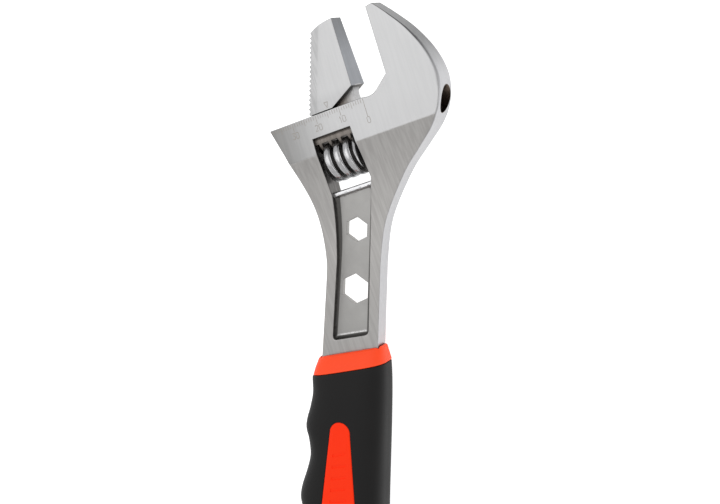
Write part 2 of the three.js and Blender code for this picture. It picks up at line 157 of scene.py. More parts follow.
class Finish:
    """A node material that is built up node by node around one Principled shader."""

    def __init__(self, name, **constants):
        self.material = bpy.data.materials.new(name)
        self.material.use_nodes = True
        self.tree = self.material.node_tree
        self.shader = self.tree.nodes["Principled BSDF"]
        for socket_name, value in constants.items():
            self.shader.inputs[socket_name.replace("_", " ")].default_value = value

    def node(self, kind, settings=None, inputs=None, output=0):
        made = self.tree.nodes.new(kind)
        for setting, value in (settings or {}).items():
            if setting == "stops":
                ramp = made.color_ramp.elements
                while len(ramp) < len(value):
                    ramp.new(0.5)
                for element, (place, colour) in zip(ramp, value):
                    element.position = place
                    element.color = (*colour, 1.0)
            else:
                setattr(made, setting, value)
        for socket_name, value in (inputs or {}).items():
            socket = made.inputs[socket_name]
            if isinstance(value, Shade):
                self.tree.links.new(value.socket, socket)
            else:
                socket.default_value = value
        return Shade(self, made.outputs[output])

    def place(self, turn=0.0, start=(0.0, 0.0), stretch=(1.0, 1.0, 1.0)):
        """The point in millimetres from a start in plan, turned about z and then stretched."""
        x, y = PLAN_ORIGIN[:2] + start
        shift_x = -(math.cos(turn) * x - math.sin(turn) * y)
        shift_y = -(math.sin(turn) * x + math.cos(turn) * y)
        inputs = {
            "Vector": self.node("ShaderNodeTexCoord", output="Object"),
            "Location": (shift_x, shift_y, -PLAN_ORIGIN[2]),
            "Rotation": (0.0, 0.0, turn),
            "Scale": (1 / MM, 1 / MM, 1 / MM),
        }
        turned = self.node("ShaderNodeMapping", {"vector_type": "POINT"}, inputs)
        return self.node("ShaderNodeVectorMath", {"operation": "MULTIPLY"}, {0: turned, 1: stretch})

    def split(self, vector):
        x = self.node("ShaderNodeSeparateXYZ", None, {"Vector": vector})
        return [Shade(self, socket) for socket in x.socket.node.outputs]

    def facing(self, direction):
        """How far the surface faces a direction, from -1 to 1."""
        inputs = {0: self.node("ShaderNodeNewGeometry", output="Normal"), 1: direction}
        settings = {"operation": "DOT_PRODUCT"}
        return self.node("ShaderNodeVectorMath", settings, inputs, output="Value")

    def noise(self, scale, detail=3.0, vector=None, rough=0.5):
        inputs = {"Scale": scale, "Detail": detail, "Roughness": rough}
        inputs["Vector"] = vector or self.place()
        return self.node("ShaderNodeTexNoise", None, inputs)

    def mix(self, factor, first, second):
        """Two colours mixed by a factor; a plain colour is three numbers."""
        first, second = (
            colour if isinstance(colour, Shade) else (*colour, 1.0) for colour in (first, second))
        settings = {"data_type": "RGBA"}
        return self.node("ShaderNodeMix", settings, {0: factor, 6: first, 7: second}, output=2)

    def bump(self, height, strength, distance, normal=None):
        inputs = {"Height": height, "Strength": strength, "Distance": distance}
        if normal:
            inputs["Normal"] = normal
        return self.node("ShaderNodeBump", None, inputs)

    def feed(self, socket_name, value):
        self.tree.links.new(value.socket, self.shader.inputs[socket_name])

    def paint(self, piece):
        piece.data.materials.clear()
        piece.data.materials.append(self.material)


BENCH_HALF = 1.5
BENCH_BELOW = 0.0002
bench_finish = Finish("pale_bench", Roughness=0.6, Specular_IOR_Level=0.1, Emission_Strength=0.92)
bench_tone = bench_finish.noise(0.01, 2.0)
bench_finish.feed("Base Color", bench_finish.mix(
    bench_tone, (0.6, 0.6, 0.6), (0.62, 0.62, 0.62)))
bench_finish.feed("Emission Color", bench_finish.mix(
    bench_tone, (0.99, 0.99, 0.99), (1.0, 1.0, 1.0)))
bench_mesh = bpy.data.meshes.new("bench_top")
bench_corners = [(-1, -1, 0), (1, -1, 0), (1, 1, 0), (-1, 1, 0)]
bench_points = [tuple(BENCH_HALF * c for c in corner) for corner in bench_corners]
bench_mesh.from_pydata(bench_points, [], [(0, 1, 2, 3)])
bench_mesh.materials.append(bench_finish.material)
bench_top = bpy.data.objects.new("bench_top", bench_mesh)
bench_top.location.z = cad_box[0][2] - BENCH_BELOW
scene.collection.objects.link(bench_top)


def soft_box(name, place, target, width, depth, power):
    """A rectangular light that faces a target."""
    data = bpy.data.lights.new(name, "AREA")
    data.shape = "RECTANGLE"
    data.size = width
    data.size_y = depth
    data.energy = power
    box = bpy.data.objects.new(name, data)
    box.location = place
    box.rotation_euler = (Vector(target) - Vector(place)).to_track_quat("-Z", "Y").to_euler()
    scene.collection.objects.link(box)


soft_box("top_box", (-0.35, 0.35, 0.95), (0, 0.05, 0), width=1.0, depth=1.0, power=3.25)
soft_box("side_strip", (1.0, 0.1, 0.45), (0, 0, 0), width=0.25, depth=1.2, power=1.1)
soft_box("left_fill", (-1.1, -0.2, 0.5), (0, 0, 0), width=0.5, depth=1.0, power=1.0)

world = bpy.data.worlds.new("studio")
world.use_nodes = True
world.node_tree.nodes["Background"].inputs["Color"].default_value = (1.0, 1.0, 1.0, 1.0)
world.node_tree.nodes["Background"].inputs["Strength"].default_value = 0.75
scene.world = world

# ---- forged body ----
# One drop forging of chrome vanadium steel: fixed jaw, head with the slide bore, neck and
# shank. The flat faces are ground, the edges are broken with a small radius, and the whole is
# plated satin.
RIM_STEPS = 4
RIM_RADIUS = 0.25
WINDOW_RIM = 0.25
OUTER_SIDE = 13.0
MITRE_FLOOR = 0.45
FILL_CLEARANCE = 0.3
WELD_WITHIN = 2e-6
SHORTEST_EDGE = 1e-7
SMALLEST_STEP = 1e-7
BEYOND_HEAD = 60.0
NECK_TOP = -14.0
NECK_FOOT = -46.0
HEAD_THICK = 6.1
TIP_THICK = 3.8
SHANK_THICK = 3.5
JAW_TIP = 29.7
JAW_FOOT = 5.1
FIXED_FACE = 11.4
DECK_LENGTH = 39.8
BORE_HEIGHT = -9.9
BORE_RADIUS = 4.45
SLOT_HALF_WIDTH = 2.65
SLOT_END = 11.2
PIN_RADIUS = 2.0
PIN_HEAD_RADIUS = 3.1
PIN_LEFT = -34.6
PIN_HEAD_LENGTH = 2.6
PIN_HOLE_END = 2.7
PIN_SIDES = 48
END_GAP = 0.3
RUNNING_GAP = 0.15
WINDOW_MIDDLE = -18.4
TANG_TOP = -45.0
TANG_CENTRE = -0.8
TANG_HALF_WIDTH = 8.6
TANG_THICK = 2.75
HANG_HOLE = -131.5
HANG_RADIUS = 4.0


def plan_to_head(x, y):
    """How far plan points lie across the head and up from the deck."""
    across = x - DECK_START[0]
    up = y - DECK_START[1]
    return HEAD_COS * across + HEAD_SIN * up, HEAD_COS * up - HEAD_SIN * across


def spline(points, steps):
    """Points along a smooth curve through the given ones, the first one left out."""
    points = np.asarray(points, float)
    ends = np.vstack([points[0], points, points[-1]])
    curve = []
    for i in range(len(points) - 1):
        p0, p1, p2, p3 = ends[i:i + 4]
        for step in range(1, steps + 1):
            t = step / steps
            out = 0.5 * (p2 - p0)
            into = 0.5 * (p3 - p1)
            curve.append(
                (2 * t**3 - 3 * t**2 + 1) * p1 + (t**3 - 2 * t**2 + t) * out
                + (3 * t**2 - 2 * t**3) * p2 + (t**3 - t**2) * into)
    return np.array(curve)


def bend(start, control, end, steps):
    """Points along a curve that turns one corner, its start left out."""
    start, control, end = (np.asarray(p, float) for p in (start, control, end))
    t = np.linspace(0, 1, steps + 1)[1:, None]
    return (1 - t)**2 * start + 2 * t * (1 - t) * control + t**2 * end


def body_outline():
    throat = head_to_plan([
        [6.0, 0.8], [FIXED_FACE, JAW_FOOT], [FIXED_FACE, JAW_TIP], [14.2, JAW_TIP + 0.3]])
    deck = head_to_plan([[0, 0], [3.4, -0.9]])
    outer = [
        throat[3], [10.9, 78.3], [18.8, 73.4], [26.5, 66.4], [31.3, 58.4], [32.2, 50.4],
        [30.1, 41.6], [25.2, 33], [19.7, 23.8], [14.1, 10.3], [11.7, 0.8], [10.85, -12],
    ]
    corner = head_to_plan([-DECK_LENGTH, 0])
    inner = [[-10.8, -19], [-11.1, -11.5], [-13.4, -0.6], [-16.8, 8.2], [-22, 16.8], [-27.9, 25.2]]
    clockwise = np.vstack([
        corner, deck[0], bend(deck[0], deck[1], throat[0], 6), throat[1:4], spline(outer, 8),
        [[10.9, -47], [-12, -53.5], [-10.8, -19]], spline(inner, 8),
    ])
    return clockwise[::-1]


def spaced(loop, longest):
    """The same closed loop with its long edges divided."""
    points = []
    for start, end in zip(loop, np.roll(loop, -1, axis=0)):
        count = max(1, math.ceil(np.linalg.norm(end - start) / longest))
        points.extend(start + (end - start) * i / count for i in range(count))
    return np.array(points)


def unit(vectors):
    return vectors / np.linalg.norm(vectors, axis=1, keepdims=True)


def left_of(vectors):
    return np.column_stack([-vectors[:, 1], vectors[:, 0]])


def drawn_in(loop, distance):
    """A closed loop moved into the metal, which lies on its left, by one distance or many."""
    before = left_of(unit(loop - np.roll(loop, 1, axis=0)))
    after = left_of(unit(np.roll(loop, -1, axis=0) - loop))
    normal = unit(before + after)
    stretch = 1 / np.maximum(MITRE_FLOOR, np.sum(normal * after, axis=1))
    return loop + normal * (stretch * distance)[:, None]


def inside(points, loop):
    """Which points lie inside a closed loop."""
    x, y = points[:, 0], points[:, 1]
    odd = np.zeros(len(points), bool)
    for (x0, y0), (x1, y1) in zip(loop, np.roll(loop, -1, axis=0)):
        if y0 == y1:
            continue
        crosses = (y0 > y) != (y1 > y)
        odd ^= crosses & (x < x0 + (y - y0) * (x1 - x0) / (y1 - y0))
    return odd


def distance_to(points, line):
    """The distance from each point to a line of straight stretches."""
    nearest = np.full(len(points), np.inf)
    for start, end in zip(line[:-1], line[1:]):
        along = end - start
        t = np.clip(((points - start) @ along) / (along @ along), 0, 1)
        gap = np.linalg.norm(points - start - t[:, None] * along, axis=1)
        nearest = np.minimum(nearest, gap)
    return nearest


def triangulated(outlines, fill):
    """Triangles between outlines, the first one outside and the others holes."""
    keep = inside(fill, outlines[0])
    for hole in outlines[1:]:
        keep &= ~inside(fill, hole)
    for outline in outlines:
        keep &= distance_to(fill, np.vstack([outline, outline[0]])) > FILL_CLEARANCE
    flat = np.vstack(outlines + [fill[keep]])
    follows = {}
    first = 0
    for outline in outlines:
        count = len(outline)
        follows.update((first + i, first + (i + 1) % count) for i in range(count))
        first += count
    made = delaunay_2d_cdt([Vector(p) for p in flat], list(follows.items()), [], 1, SMALLEST_STEP)
    placed = np.array([list(p) for p in made[0]])
    renamed = {old: new for new, olds in enumerate(made[3]) for old in olds}
    follows = {renamed[a]: renamed[b] for a, b in follows.items()}
    middles = placed[np.array([list(face) for face in made[2]])].mean(axis=1)
    in_metal = inside(middles, outlines[0])
    for hole in outlines[1:]:
        in_metal &= ~inside(middles, hole)
    triangles = []
    for (a, b, c), deep_inside in zip(made[2], in_metal):
        rim_sides = [follows.get(p) == q for p, q in ((a, b), (b, c), (c, a))]
        hole_sides = [follows.get(q) == p for p, q in ((a, b), (b, c), (c, a))]
        if any(rim_sides) or (deep_inside and not any(hole_sides)):
            triangles.append((a, b, c))
    return placed, triangles


def mesh_piece(name, points, faces):
    """A mesh object from plan points in millimetres, welded, with its faces pointing out."""
    placed = (np.asarray(points, float) + PLAN_ORIGIN) * MM
    mesh = bpy.data.meshes.new(name)
    mesh.from_pydata(placed.tolist(), [], [tuple(face) for face in faces])
    work = bmesh.new()
    work.from_mesh(mesh)
    bmesh.ops.remove_doubles(work, verts=work.verts, dist=WELD_WITHIN)
    bmesh.ops.dissolve_degenerate(work, edges=work.edges, dist=SHORTEST_EDGE)
    bmesh.ops.recalc_face_normals(work, faces=work.faces)
    work.to_mesh(mesh)
    work.free()
    piece = bpy.data.objects.new(name, mesh)
    scene.collection.objects.link(piece)
    return piece


def level_at(thickness):
    """The height formula of a face that is flat."""
    return lambda x, y: np.full(len(x), thickness)


def forged_plate(name, loops, height, fill, base=None, side=1):
    """A plate from loops with a rim radius each and a formula for the height of its face.

    The first loop is the outside, run counter-clockwise, and the others are holes, run
    clockwise. The fill points carry the curvature of the faces. Without a base formula the back
    is like the front; with one, the plate ends there, and side -1 turns it to the back.
    """
    points = []
    faces = []
    tops = []
    feet = []
    for loop, rim in loops:
        rings = []
        for step in range(RIM_STEPS + 1):
            angle = math.pi / 2 * step / RIM_STEPS
            ring = drawn_in(loop, rim * (1 - math.cos(angle)))
            rise = height(ring[:, 0], ring[:, 1]) - rim * (1 - math.sin(angle))
            rings.append((ring, rise))
        tops.append(rings[-1][0])
        feet.append(loop)
        if base:
            stack = [(loop, base(loop[:, 0], loop[:, 1]))] + rings
        else:
            stack = [(ring, -rise) for ring, rise in reversed(rings)] + rings
        first = len(points)
        for ring, rise in stack:
            points.extend([x, y, z] for (x, y), z in zip(ring, rise))
        count = len(loop)
        for level in range(len(stack) - 1):
            for i in range(count):
                low = first + level * count
                high = low + count
                faces.append((low + i, low + (i + 1) % count, high + (i + 1) % count, high + i))
    lower = base or (lambda x, y: -height(x, y))
    for outlines, level in ((tops, height), (feet if base else tops, lower)):
        flat, triangles = triangulated(outlines, fill)
        first = len(points)
        points.extend([x, y, z] for (x, y), z in zip(flat, level(flat[:, 0], flat[:, 1])))
        faces.extend(tuple(first + i for i in triangle) for triangle in triangles)
    return mesh_piece(name, np.array(points) * (1, 1, side), faces)


def combine(piece, other, operation):
    """Joins another piece to this one, or cuts it away, and uses the other one up."""
    modifier = piece.modifiers.new("join", "BOOLEAN")
    modifier.operation = operation
    modifier.solver = "MANIFOLD"
    modifier.object = other
    bpy.context.view_layer.update()
    evaluated = piece.evaluated_get(bpy.context.evaluated_depsgraph_get())
    mesh = bpy.data.meshes.new_from_object(evaluated)
    piece.modifiers.clear()
    piece.data = mesh
    bpy.data.objects.remove(other)
    return piece


def tidy_shading(piece, sharp_degrees=32):
    """Smooth faces with crisp edges, and flat faces that stay flat up to their rims."""
    mesh = piece.data
    mesh.polygons.foreach_set("use_smooth", [True] * len(mesh.polygons))
    mesh.set_sharp_from_angle(angle=math.radians(sharp_degrees))
    weighted = piece.modifiers.new("flat_faces", "WEIGHTED_NORMAL")
    weighted.keep_sharp = True
    weighted.weight = 60
    return piece


def tube_faces(rows, count):
    """Faces of a closed tube from rows of points around it, one row after another."""
    faces = [
        (row * count + i, row * count + (i + 1) % count,
         (row + 1) * count + (i + 1) % count, (row + 1) * count + i)
        for row in range(rows - 1) for i in range(count)]
    faces.append(tuple(range(count)))
    faces.append(tuple(reversed(range((rows - 1) * count, rows * count))))
    return faces


def rod_along_head(name, radius, x0, x1, y, sides=96, ends=0.0):
    """A rod across the head, with its ends broken by a small chamfer."""
    profile = [(x0, radius - ends), (x0 + ends, radius), (x1 - ends, radius), (x1, radius - ends)]
    if not ends:
        profile = [(x0, radius), (x1, radius)]
    points = []
    for x, r in profile:
        for i in range(sides):
            angle = 2 * math.pi * i / sides
            plan = head_to_plan([x, y + r * math.cos(angle)])
            points.append([*plan, r * math.sin(angle)])
    return mesh_piece(name, points, tube_faces(len(profile), sides))


BOX_FACES = [(0, 1, 3, 2), (4, 6, 7, 5), (0, 4, 5, 1), (2, 3, 7, 6), (0, 2, 6, 4), (1, 5, 7, 3)]


def box_in_head(name, x0, x1, y0, y1, half):
    """A block square to the head."""
    corners = [(x, y, z) for x in (x0, x1) for y in (y0, y1) for z in (-half, half)]
    points = [[*head_to_plan([x, y]), z] for x, y, z in corners]
    return mesh_piece(name, points, BOX_FACES)


def body_height(x, y):
    _, up = plan_to_head(x, y)
    on_head = HEAD_THICK + (TIP_THICK - HEAD_THICK) * (up - NECK_TOP) / (JAW_TIP + 3 - NECK_TOP)
    left = np.clip((up - NECK_FOOT) / (NECK_TOP - NECK_FOOT), 0, 1)
    on_neck = SHANK_THICK + (HEAD_THICK - SHANK_THICK) * left**2
    return np.where(up > NECK_TOP, on_head, on_neck)


def fill_in_head(x0, x1, y0, y1, spacing, extra_rows=()):
    """Points in rows across the head."""
    rows = list(np.arange(NECK_TOP - spacing * math.floor((NECK_TOP - y0) / spacing), y1, spacing))
    rows.extend(extra_rows)
    columns = np.arange(x0, x1, spacing)
    return head_to_plan([[x, y] for y in rows for x in columns])


window_corners = head_to_plan([[-23.8, -8.1], [-8.0, -8.1], [-6.7, -28.8], [-23.3, -28.8]])
recess_left = np.vstack([
    bend([-9.2, 13.6], [-7.1, 3], [-6.6, -12], 12), [[-7.5, -40.6]],
    bend([-7.5, -40.6], [-7.4, -42.6], [-5.9, -42.1], 8),
])
recess_right = np.vstack([
    [[5.2, -38.9]], bend([5.2, -38.9], [6.8, -38.3], [6.8, -36.8], 8), [[6.5, -6], [6.3, 20.4]],
])
opening = np.vstack([window_corners[:2], recess_right[::-1], recess_left[::-1]])


def rim_of(loop):
    """The edge is soft round the outside of the bore, and crisp everywhere else."""
    across, up = plan_to_head(loop[:, 0], loop[:, 1])
    soft = np.interp(up, [-22, -12, -4, 8, 20, 28], [RIM_RADIUS, 0.7, 1.5, 1.3, 0.6, RIM_RADIUS])
    return np.where(across > OUTER_SIDE, soft, RIM_RADIUS)


def arc(x, y, radius, start, end, steps):
    angles = np.radians(np.linspace(start, end, steps + 1))
    return np.column_stack([x + radius * np.cos(angles), y + radius * np.sin(angles)])


inside_solid = 0.02
outer_loop = drawn_in(spaced(body_outline(), 2.0), inside_solid)
body_loops = [(outer_loop, rim_of(outer_loop)), (spaced(opening, 2.0), WINDOW_RIM)]
kink_rows = [NECK_TOP - 0.35, NECK_TOP + 0.35]
body_fill = fill_in_head(-70, 70, -112, 34, 2.0, kink_rows)
body = forged_plate("forged_body", body_loops, body_height, body_fill)
bore_cut = rod_along_head("bore_cut", BORE_RADIUS, -BEYOND_HEAD, BEYOND_HEAD, BORE_HEIGHT)
combine(body, bore_cut, "DIFFERENCE")
slot_cut = box_in_head(
    "slot_cut", -BEYOND_HEAD, SLOT_END, BORE_HEIGHT, JAW_FOOT + 1, SLOT_HALF_WIDTH)
combine(body, slot_cut, "DIFFERENCE")
pin_cuts = [
    ("pin_cut", PIN_RADIUS, PIN_HOLE_END),
    ("pin_head_cut", PIN_HEAD_RADIUS, PIN_LEFT + PIN_HEAD_LENGTH + END_GAP),
]
for cut_name, pin_radius, cut_end in pin_cuts:
    cut = rod_along_head(
        cut_name, pin_radius + RUNNING_GAP, -BEYOND_HEAD, cut_end, WORM_IN_HEAD[1], PIN_SIDES)
    combine(body, cut, "DIFFERENCE")

tang_side = TANG_CENTRE - TANG_HALF_WIDTH
tang_loop = np.vstack([
    [[tang_side + 2 * TANG_HALF_WIDTH, TANG_TOP], [tang_side, TANG_TOP]],
    arc(TANG_CENTRE, HANG_HOLE, TANG_HALF_WIDTH, 180, 360, 24),
])
tang_hole = arc(TANG_CENTRE, HANG_HOLE, HANG_RADIUS + 1, 360, 0, 36)[:-1]
tang_fill = np.array([[x, y] for x in (-4.0, 2.0) for y in range(-126, -46, 8)])
tang_loops = [(tang_loop, 0.3), (tang_hole, 0.2)]
tang = forged_plate("tang", tang_loops, level_at(TANG_THICK), tang_fill)
combine(body, tang, "UNION")
tidy_shading(body)
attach(body, "handle")
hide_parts("wrench_body")


FINE_LINES = (7.0, 0.12, 1.0)
BROAD_STREAKS = (1.3, 0.045, 1.0)
HAIRLINES = (0.05, 3.0, 1.0)
HAIRLINE_TURN = 0.7


def ground_steel(name, brush_strength):
    """Satin plate over ground steel, with fine lines up and down the head."""
    finish = Finish(name, Metallic=1.0)
    lines = finish.place(-HEAD_ANGLE, DECK_START, FINE_LINES)
    brush = finish.noise(1.0, 4.0, lines, 0.6)
    streak = finish.noise(1.0, 3.0, finish.place(-HEAD_ANGLE, DECK_START, BROAD_STREAKS))
    cloud = finish.noise(0.05, 3.0)
    hair = finish.noise(1.0, 2.0, finish.place(HAIRLINE_TURN, (0.0, 0.0), HAIRLINES))
    scratch = hair.above(0.72, 0.03)
    finish.feed("Roughness", 0.27 + 0.12 * brush + 0.08 * cloud - 0.06 * scratch)
    finish.feed("Normal", finish.bump(brush + 0.3 * scratch, brush_strength, 0.00004))
    return finish, 0.45 * brush + 0.35 * streak.above(0.5, 0.16) + 0.2 * cloud


satin, satin_grain = ground_steel("satin_steel", 0.14)
head_x, head_y, head_z = satin.split(satin.place(-HEAD_ANGLE, DECK_START))
plan_x, plan_y, _ = satin.split(satin.place())
lies_flat = satin.facing((0.0, 0.0, 1.0)).size().above(0.86, 0.08)
face_tone = satin.mix(satin_grain, (0.41, 0.41, 0.414), (0.45, 0.45, 0.452))
# Painted shade: a darker copy of the face tone, towards the head's far left corner.
corner_shade_tone = satin.mix(satin_grain, (0.18, 0.178, 0.175), (0.23, 0.228, 0.223))
neck_tone = satin.mix(satin_grain, (0.3, 0.291, 0.282), (0.45, 0.44, 0.43))
# Painted shade on the sides: a little darker and bluer than the faces.
side_shade_tone = satin.mix(satin_grain, (0.38, 0.38, 0.39), (0.46, 0.46, 0.47))
# Painted shade, far darker, on the fixed jaw's outer back.
back_shade_tone = satin.mix(satin_grain, (0.06, 0.06, 0.062), (0.15, 0.15, 0.152))
# Painted shade on the walls inside the window and the recess.
wall_shade_tone = satin.mix(satin_grain, (0.09, 0.085, 0.08), (0.19, 0.185, 0.18))
# Painted shade inside the bore, dark with a brown cast.
bore_shade_tone = satin.mix(satin_grain, (0.03, 0.022, 0.017), (0.26, 0.2, 0.16))

# Where each tone lies, as a level in millimetres and how softly it starts there.
# Painted shade deepens across the face towards the head's far left corner.
shade_to_corner = 1 - head_x.above(-27.0, 16.0)
# Where the fixed jaw's outer back is painted in shade.
outer_back_shade = head_x.above(12.0, 1.0) * head_y.above(6.0, 10.0)
in_shank = (1 - plan_x.size().above(9.3, 0.3)) * (1 - plan_y.above(16.0, 3.0))
beside_worm = 1 - (head_x - WORM_IN_HEAD[0]).size().above(9.6, 0.3)
in_window = beside_worm * (1 - (head_y - WINDOW_MIDDLE).size().above(10.9, 0.3))
from_bore = (head_y - BORE_HEIGHT) * (head_y - BORE_HEIGHT) + head_z * head_z
# Where the bore's inside is painted in shade.
bore_shade_mask = 1 - from_bore.above((BORE_RADIUS + 0.1)**2, 0.8)
steel = satin.mix(shade_to_corner, face_tone, corner_shade_tone)
steel = satin.mix(head_y.above(NECK_TOP, 0.2), neck_tone, steel)
steel = satin.mix(lies_flat, satin.mix(outer_back_shade, side_shade_tone, back_shade_tone), steel)
# Walls inside the shank recess and the window get painted shade.
shaded_walls = (in_shank + in_window).above(0.5, 0.2) * (1 - lies_flat)
steel = satin.mix(shaded_walls, steel, wall_shade_tone)
satin.feed("Base Color", satin.mix(bore_shade_mask, steel, bore_shade_tone))
satin.paint(body)

# ---- deck scale ----
# A millimetre scale etched into the front of the head, from the fixed jaw's side to the deck's
# far corner, with a longer line every five and ten and a number every ten.
ETCH_PROUD = 0.012
ETCH_DEEP = 0.05
ETCH_WIDTH = 0.16
ETCH_MITRE_FLOOR = 0.5
SCALE_LENGTH = 39
LINE_START = -0.4
ZERO_LINE_END = -6.9
DIGIT_FOOT = -5.9
DIGIT_LEFT = 1.35
DIGIT_STEP = 1.6
ZERO_PLACE = (-0.6, -9.3)


def etched(name, strokes, height, width):
    """Thin closed ribbons along strokes in the head, level with a face."""
    points = []
    faces = []
    for stroke, closed in strokes:
        line = head_to_plan(stroke)
        count = len(line)
        ahead = unit(np.roll(line, -1, axis=0) - line)
        if not closed:
            ahead[-1] = ahead[-2]
        behind = np.roll(ahead, 1, axis=0)
        if not closed:
            behind[0] = ahead[0]
        left = left_of(ahead)
        normal = unit(left + left_of(behind))
        normal /= np.maximum(ETCH_MITRE_FLOOR, np.sum(normal * left, axis=1))[:, None]
        first = len(points)
        for corner, out in zip(line, normal):
            for side, rise in ((-1, -ETCH_DEEP), (1, -ETCH_DEEP), (1, ETCH_PROUD), (-1, ETCH_PROUD)):
                x, y = corner + side * out * width / 2
                points.append([x, y, float(height(x, y)) + rise])
        for i in range(count if closed else count - 1):
            a = first + 4 * i
            b = first + 4 * ((i + 1) % count)
            faces.extend((a + k, a + (k + 1) % 4, b + (k + 1) % 4, b + k) for k in range(4))
        if not closed:
            last = first + 4 * (count - 1)
            faces.append((first, first + 1, first + 2, first + 3))
            faces.append((last + 3, last + 2, last + 1, last))
    return mesh_piece(name, points, faces)


DIGITS = {
    "0": [([
        [0, 0.3], [0.3, 0], [0.9, 0], [1.2, 0.3], [1.2, 1.9], [0.9, 2.2], [0.3, 2.2], [0, 1.9],
    ], True)],
    "1": [([[0.3, 1.7], [0.8, 2.2], [0.8, 0]], False)],
    "2": [([[0, 1.8], [0.3, 2.2], [0.9, 2.2], [1.2, 1.8], [1.2, 1.4], [0, 0], [1.2, 0]], False)],
    "3": [([
        [0, 2.2], [1.2, 2.2], [0.6, 1.3], [1.1, 1.1], [1.2, 0.5], [0.9, 0], [0.2, 0], [0, 0.3],
    ], False)],
}
scale_strokes = [([[0.0, LINE_START], [0.0, ZERO_LINE_END]], False)]
for mark in range(1, SCALE_LENGTH + 1):
    mark_length = 3.0 if mark % 10 == 0 else 2.2 if mark % 5 == 0 else 1.4
    scale_strokes.append(([[-mark, LINE_START], [-mark, LINE_START - mark_length]], False))
digit_places = [
    (digit, -10.0 * tens - DIGIT_LEFT + DIGIT_STEP * place, DIGIT_FOOT)
    for tens in (1, 2, 3) for place, digit in enumerate(f"{tens}0")]
for digit, digit_x, digit_y in [*digit_places, ("0", *ZERO_PLACE)]:
    for stroke, closed in DIGITS[digit]:
        scale_strokes.append(([[digit_x + x, digit_y + y] for x, y in stroke], closed))
deck_scale = etched("deck_scale", scale_strokes, body_height, ETCH_WIDTH)
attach(deck_scale, "handle")

etch = Finish("etched_lines", Metallic=0.6)
etch_grain = etch.noise(3.0, 3.0)
etch.feed("Base Color", etch.mix(etch_grain, (0.2, 0.17, 0.14), (0.34, 0.31, 0.27)))
etch.feed("Roughness", 0.55 + 0.15 * etch_grain)
etch.paint(deck_scale)

# ---- shank web ----
# The thin web that is left in the middle of the shank when its two recesses are forged, with
# the 8 mm and 10 mm hexagon sockets broached through it. Its floor is shot-blasted.
WEB_THICK = 1.15
WINDOW_FOOT = -28.8
LIP_THICK = 2.6
LIP_HEIGHT = 2.0
SIDE_FILLET = 1.3
FOOT_FILLET = 1.6
SMALL_SOCKET = 8.0
LARGE_SOCKET = 10.0
SOCKET_SPACING = 22.35
SOCKET_RIM = 0.22
wall_line = np.vstack([recess_left, recess_right])


def web_height(x, y):
    """Flat, with a fillet to the walls that is larger at the foot, and a thick lip at the top."""
    points = np.column_stack([x, y])
    room = np.vstack([recess_left, recess_right, [[6.3, 30.0]], [[-16.0, 30.0]]])
    gap = np.where(inside(points, room), distance_to(points, wall_line), 0.0)
    fillet = np.interp(y, [-38, -34], [FOOT_FILLET, SIDE_FILLET])
    left = np.clip(fillet - gap, 0, fillet)
    floor = WEB_THICK + fillet - np.sqrt(fillet**2 - left**2)
    _, up = plan_to_head(x, y)
    into_lip = np.clip((up - WINDOW_FOOT + LIP_HEIGHT + 0.3) / 0.9, 0, 1)
    lip = WEB_THICK + (LIP_THICK - WEB_THICK) * into_lip**2 * (3 - 2 * into_lip)
    return np.maximum(floor, lip)


def hexagon(across_flats, y):
    """A hexagon run clockwise with its points up and down the handle."""
    radius = across_flats / math.sqrt(3)
    angles = [math.pi / 2 - math.pi / 3 * i for i in range(6)]
    return np.array([[radius * math.cos(a), y + radius * math.sin(a)] for a in angles])


web_top = head_to_plan([[-4.6, WINDOW_FOOT], [-27.0, WINDOW_FOOT]])
web_outline = np.vstack([
    web_top, [[-11.0, 2.0], [-9.0, -12.0], [-9.4, -43.5], [-7.0, -46.0], [7.6, -42.0], [9.0, -38.0]],
])
web_loops = [
    (spaced(web_outline, 3.0), 0.7),
    (spaced(hexagon(SMALL_SOCKET, 0.0), 1.2), SOCKET_RIM),
    (spaced(hexagon(LARGE_SOCKET, -SOCKET_SPACING), 1.2), SOCKET_RIM),
]
lip_rows = [[x, WINDOW_FOOT - down] for down in (0.9, 1.4, 1.65, 1.85, 2.05, 2.25, 2.5)
            for x in np.arange(-25.0, -5.0, 1.2)]
from_wall = (0.001, 0.12, 0.3, 0.55, 0.85, 1.15, 1.5, 1.95)
web_fill = [
    *(drawn_in(spaced(wall_line, 1.0), gap) for gap in from_wall),
    head_to_plan(lip_rows),
    np.array([[x, y] for x in np.arange(-9, 9, 1.6) for y in np.arange(-42, 14, 1.6)]),
]
web = forged_plate("shank_web", web_loops, web_height, np.vstack(web_fill))
tidy_shading(web)
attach(web, "handle")

blasted = Finish("blasted_steel", Metallic=1.0)
grit = blasted.noise(3.0, 2.0)
stain = blasted.noise(0.12, 4.0)
_, lip_y, _ = blasted.split(blasted.place(-HEAD_ANGLE, DECK_START))
on_lip = lip_y.above(WINDOW_FOOT - LIP_HEIGHT + 0.2, 0.3)
web_x, web_y, _ = blasted.split(blasted.place())

# Painted shade lies in the fillets: along the left wall, which leans and curves away above
# y = -12, along the right wall, and along the slanted foot.
up_wall = web_y + 12.0
above_curve = up_wall.at_least(0.0)
left_wall = -6.6 + 0.0315 * up_wall - 0.004 * above_curve * above_curve
from_foot = web_y - 0.288 * web_x + 40.4
floor_tone = blasted.mix(stain, (0.31, 0.304, 0.296), (0.42, 0.413, 0.402))
